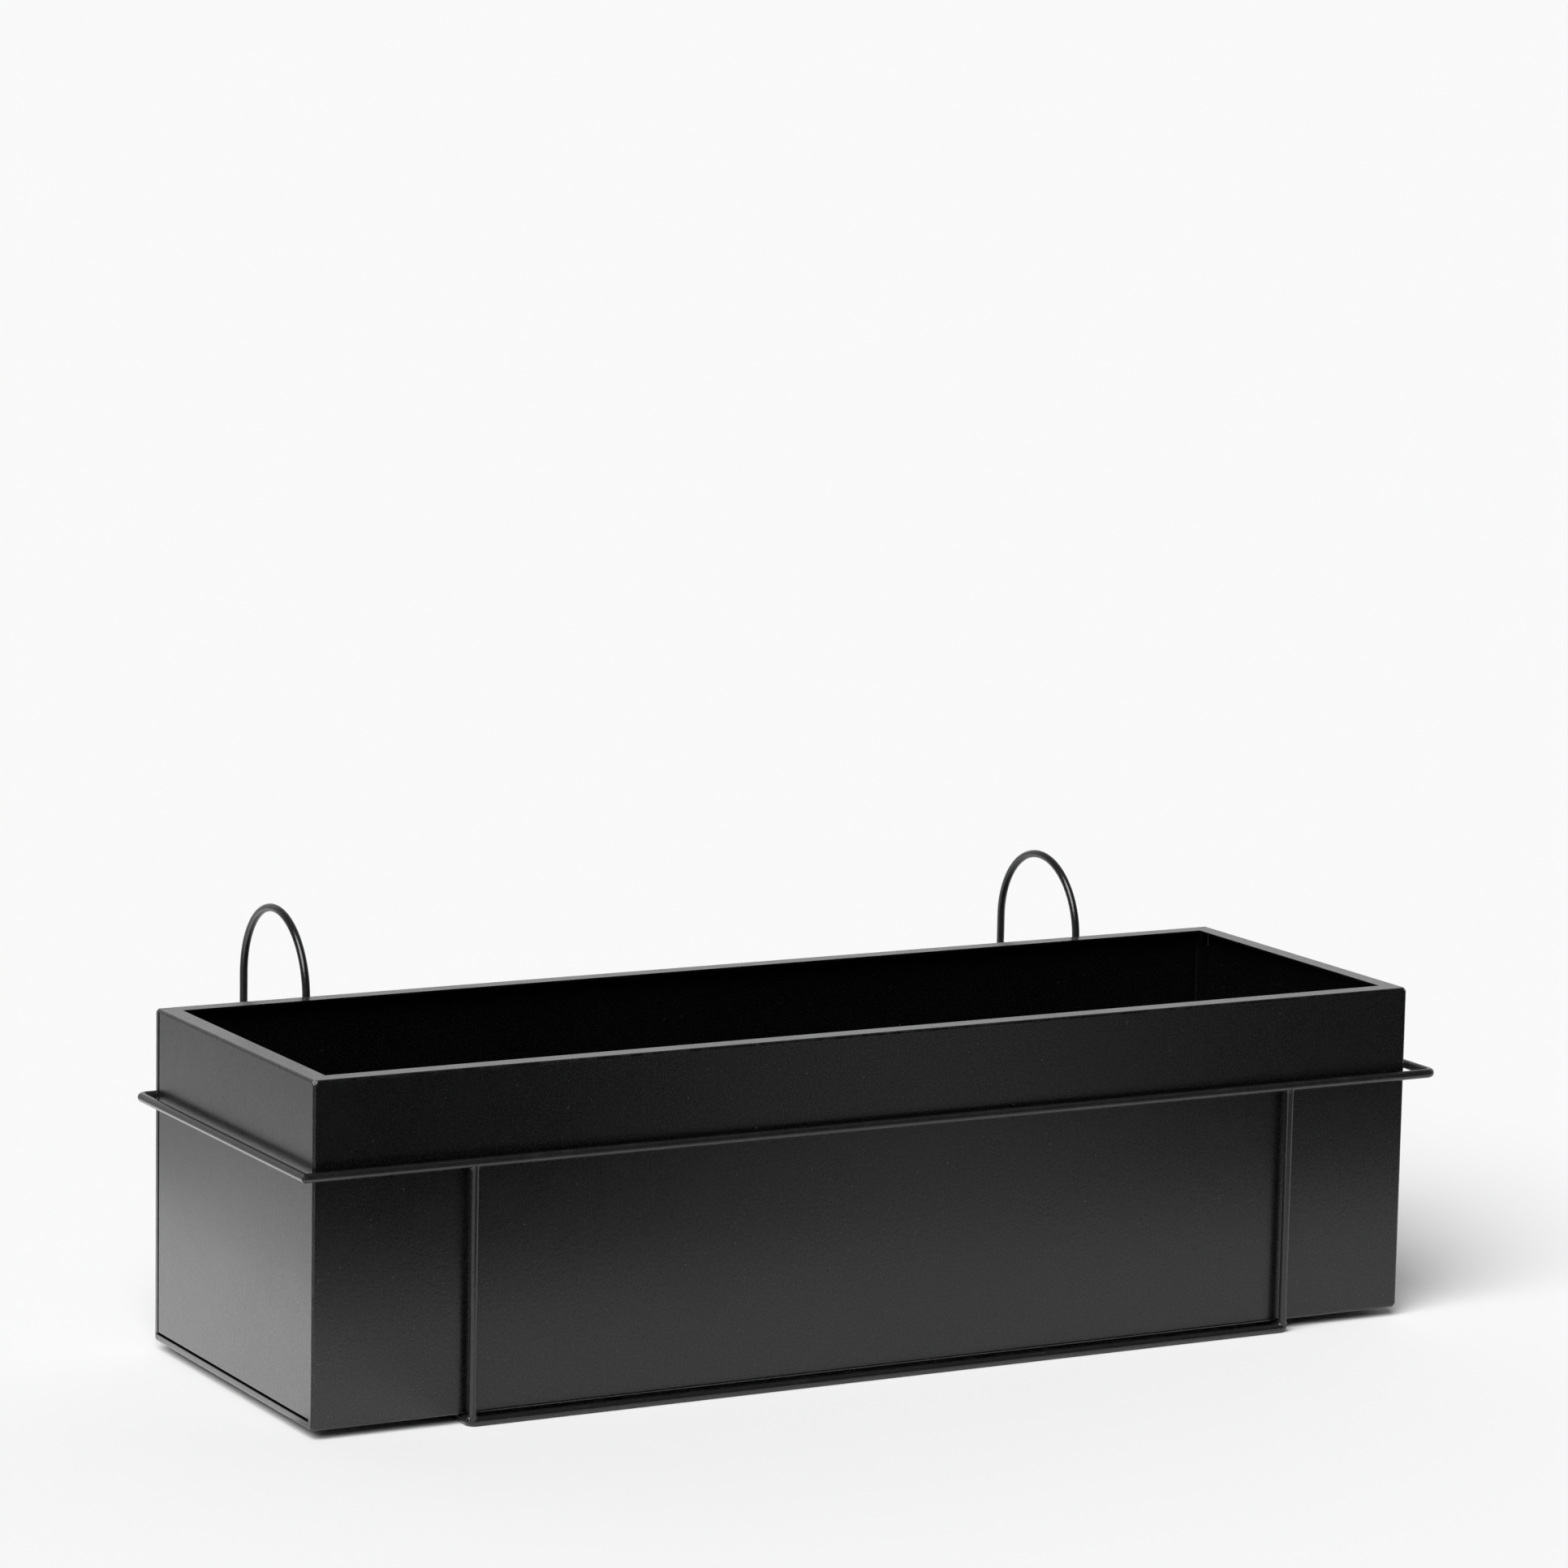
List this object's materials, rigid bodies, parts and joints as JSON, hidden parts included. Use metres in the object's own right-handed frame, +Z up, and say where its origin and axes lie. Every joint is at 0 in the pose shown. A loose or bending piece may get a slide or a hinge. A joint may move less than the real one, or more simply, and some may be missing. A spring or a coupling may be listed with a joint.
{
  "type": "railing window box planter",
  "caption": "Long sheet-metal window box with an inward lip, standing loose in a welded wire holder with two half-round railing hooks.",
  "frame": {"origin": "middle of the whole footprint, on the surface that the base wire stands on", "axes": "+Z up, -Y the front with the long panel, +Y towards the railing, +X along the trough to the right seen from the front"},
  "size_m": [0.6244, 0.2856, 0.2076],
  "materials": {
    "sheet": "satin black powder coat on folded sheet",
    "wire": "satin black powder coat on round wire",
    "weld": "satin black powder coat over weld beads"
  },
  "bodies": {
    "holder": {"ring_wire": "wire", "base_wire": "wire", "left_upright": "wire", "right_upright": "wire", "left_hook": "wire", "right_hook": "wire", "left_upright_top_weld": "weld", "left_upright_foot_weld": "weld", "left_hook_ring_weld": "weld", "left_hook_base_weld": "weld", "right_upright_top_weld": "weld", "right_upright_foot_weld": "weld", "right_hook_ring_weld": "weld", "right_hook_base_weld": "weld"},
    "planter": {"trough_sheet": "sheet", "left_end_panel": "sheet", "right_end_panel": "sheet", "left_end_seam": "weld", "right_end_seam": "weld", "front_left_lip_weld": "weld", "front_right_lip_weld": "weld", "rear_left_lip_weld": "weld", "rear_right_lip_weld": "weld"}
  },
  "joints": [
    {"name": "planter_lift", "type": "slide", "parent": "holder", "child": "planter", "axis": [0, 0, 1], "range_m": [0, 0.14]}
  ]
}
